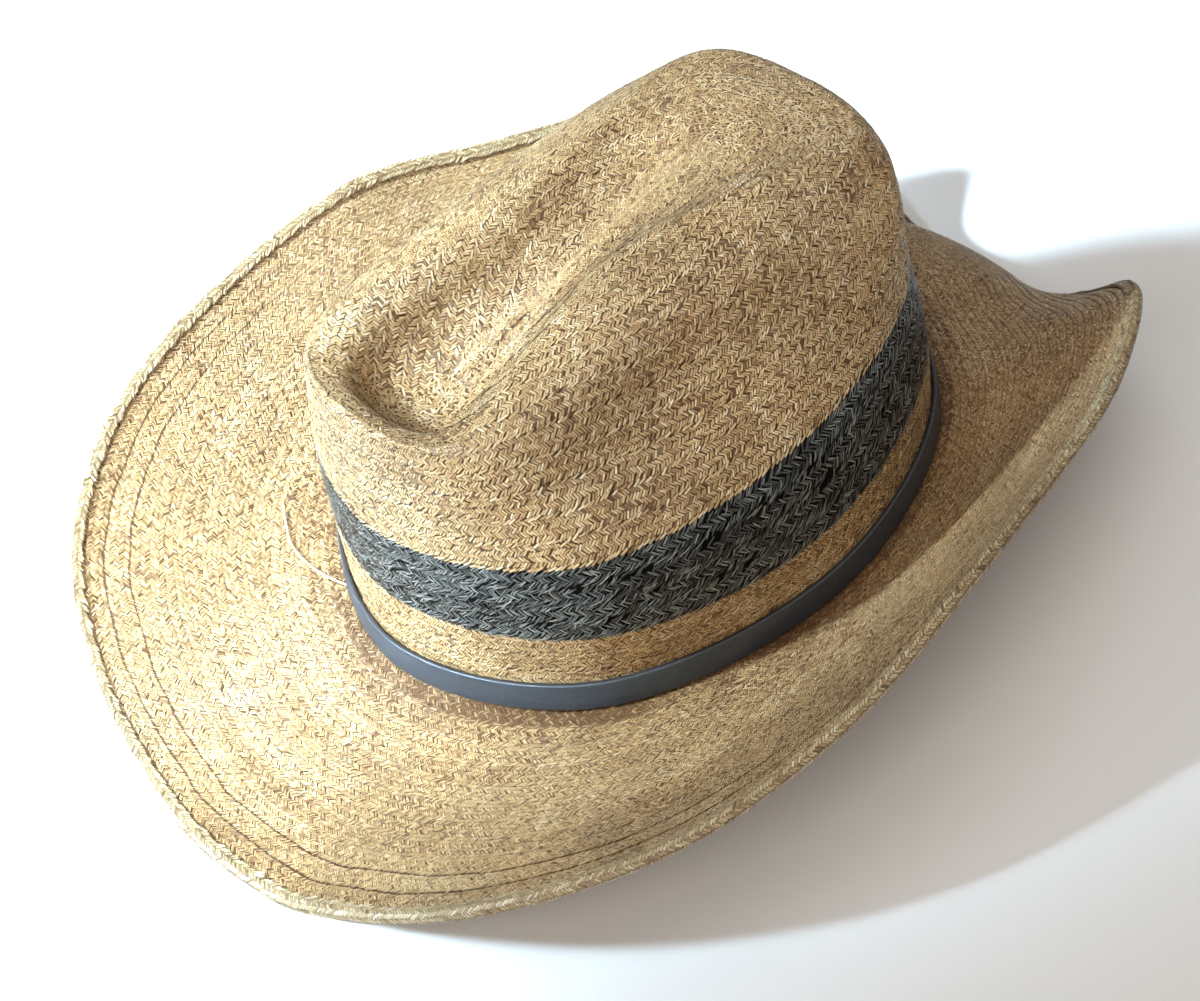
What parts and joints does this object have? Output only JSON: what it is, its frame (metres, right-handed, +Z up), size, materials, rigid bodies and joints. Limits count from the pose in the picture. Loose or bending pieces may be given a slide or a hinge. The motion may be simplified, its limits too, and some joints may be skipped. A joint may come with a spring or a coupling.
{
  "type": "straw cowboy hat",
  "caption": "Straw cowboy hat sewn from flat plait, with a creased crown, a black woven stripe, a thin leather band and a bound brim that rolls up at the sides.",
  "frame": {"origin": "centre of the bounding box in plan, on the ground under the brim", "axes": "+Z up, -Y towards the wearer's front, +X to the wearer's left"},
  "size_m": [0.3064, 0.3526, 0.1329],
  "materials": {
    "straw": "natural palm straw plait, satin",
    "dyed_straw": "black dyed straw plait, satin",
    "leather": "smooth black, semi-gloss"
  },
  "bodies": {
    "root": {"crown_top": "straw", "crown_stripe": "dyed_straw", "crown_base": "straw", "brim": "straw", "brim_binding": "straw", "hat_band": "leather"}
  },
  "joints": []
}
